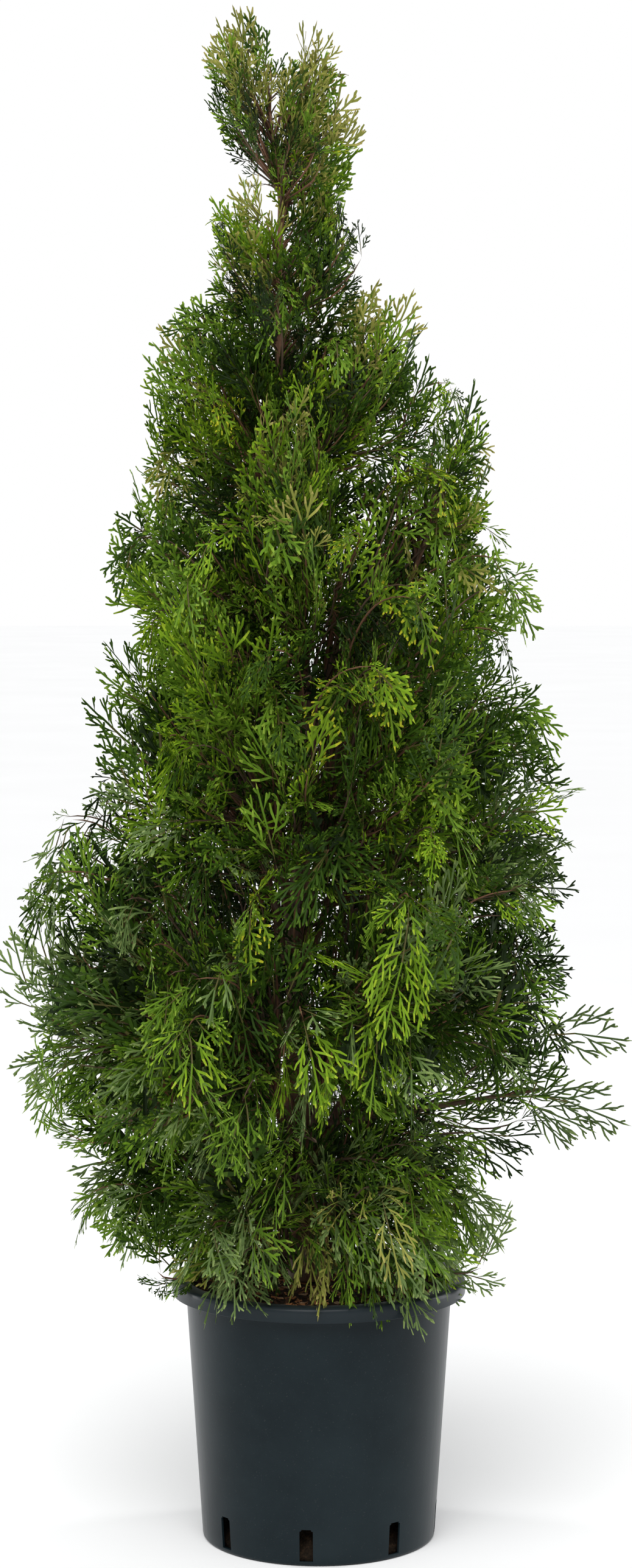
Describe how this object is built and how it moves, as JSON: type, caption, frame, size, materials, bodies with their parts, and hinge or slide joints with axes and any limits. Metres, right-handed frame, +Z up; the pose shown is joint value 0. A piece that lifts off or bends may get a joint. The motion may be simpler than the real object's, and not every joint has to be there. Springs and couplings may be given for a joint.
{
  "type": "potted thuja",
  "caption": "Young columnar thuja with a wandering leader, standing in a round plastic nursery pot that rests on its flat underside.",
  "frame": {"origin": "centre of the pot's flat underside, on the ground", "axes": "+Z up, from the pot's underside along the trunk; -Y is the front of the plant; +X is to the right of a viewer who faces that front"},
  "size_m": [0.6411, 0.5634, 1.5539],
  "materials": {
    "pot_plastic": "satin",
    "growing_medium": "matte",
    "bark": "matte",
    "foliage": "matte"
  },
  "bodies": {
    "root": {"bough_low_back_left": "bark", "bough_low_back_right": "bark", "bough_low_front_left": "bark", "bough_low_front_right": "bark", "bough_low_left": "bark", "bough_low_right": "bark", "bough_mid_back_left": "bark", "bough_mid_back_right": "bark", "bough_mid_front_left": "bark", "bough_mid_front_right": "bark", "bough_mid_left": "bark", "bough_mid_right": "bark", "bough_second_leader_right": "bark", "bough_shoulder_left": "bark", "bough_shoulder_right": "bark", "bough_side_spray_right": "bark", "bough_skirt_back_left": "bark", "bough_skirt_back_right": "bark", "bough_skirt_front_left": "bark", "bough_skirt_front_right": "bark", "bough_skirt_left": "bark", "bough_skirt_right": "bark", "bough_upper_left": "bark", "bough_upper_right": "bark", "foliage_low_back_left": "foliage", "foliage_low_back_right": "foliage", "foliage_low_front_left": "foliage", "foliage_low_front_right": "foliage", "foliage_low_left": "foliage", "foliage_low_right": "foliage", "foliage_mid_back_left": "foliage", "foliage_mid_back_right": "foliage", "foliage_mid_front_left": "foliage", "foliage_mid_front_right": "foliage", "foliage_mid_left": "foliage", "foliage_mid_right": "foliage", "foliage_neck_left": "foliage", "foliage_neck_right": "foliage", "foliage_second_leader_right": "foliage", "foliage_shoulder_back": "foliage", "foliage_shoulder_front": "foliage", "foliage_shoulder_left": "foliage", "foliage_shoulder_right": "foliage", "foliage_side_spray_right": "foliage", "foliage_skirt_back_left": "foliage", "foliage_skirt_back_right": "foliage", "foliage_skirt_front_left": "foliage", "foliage_skirt_front_right": "foliage", "foliage_skirt_left": "foliage", "foliage_skirt_right": "foliage", "foliage_tip_left": "foliage", "foliage_tip_right": "foliage", "foliage_upper_back": "foliage", "foliage_upper_front": "foliage", "foliage_upper_left": "foliage", "foliage_upper_right": "foliage", "pot": "pot_plastic", "root_ball": "growing_medium", "trunk": "bark"}
  },
  "joints": []
}
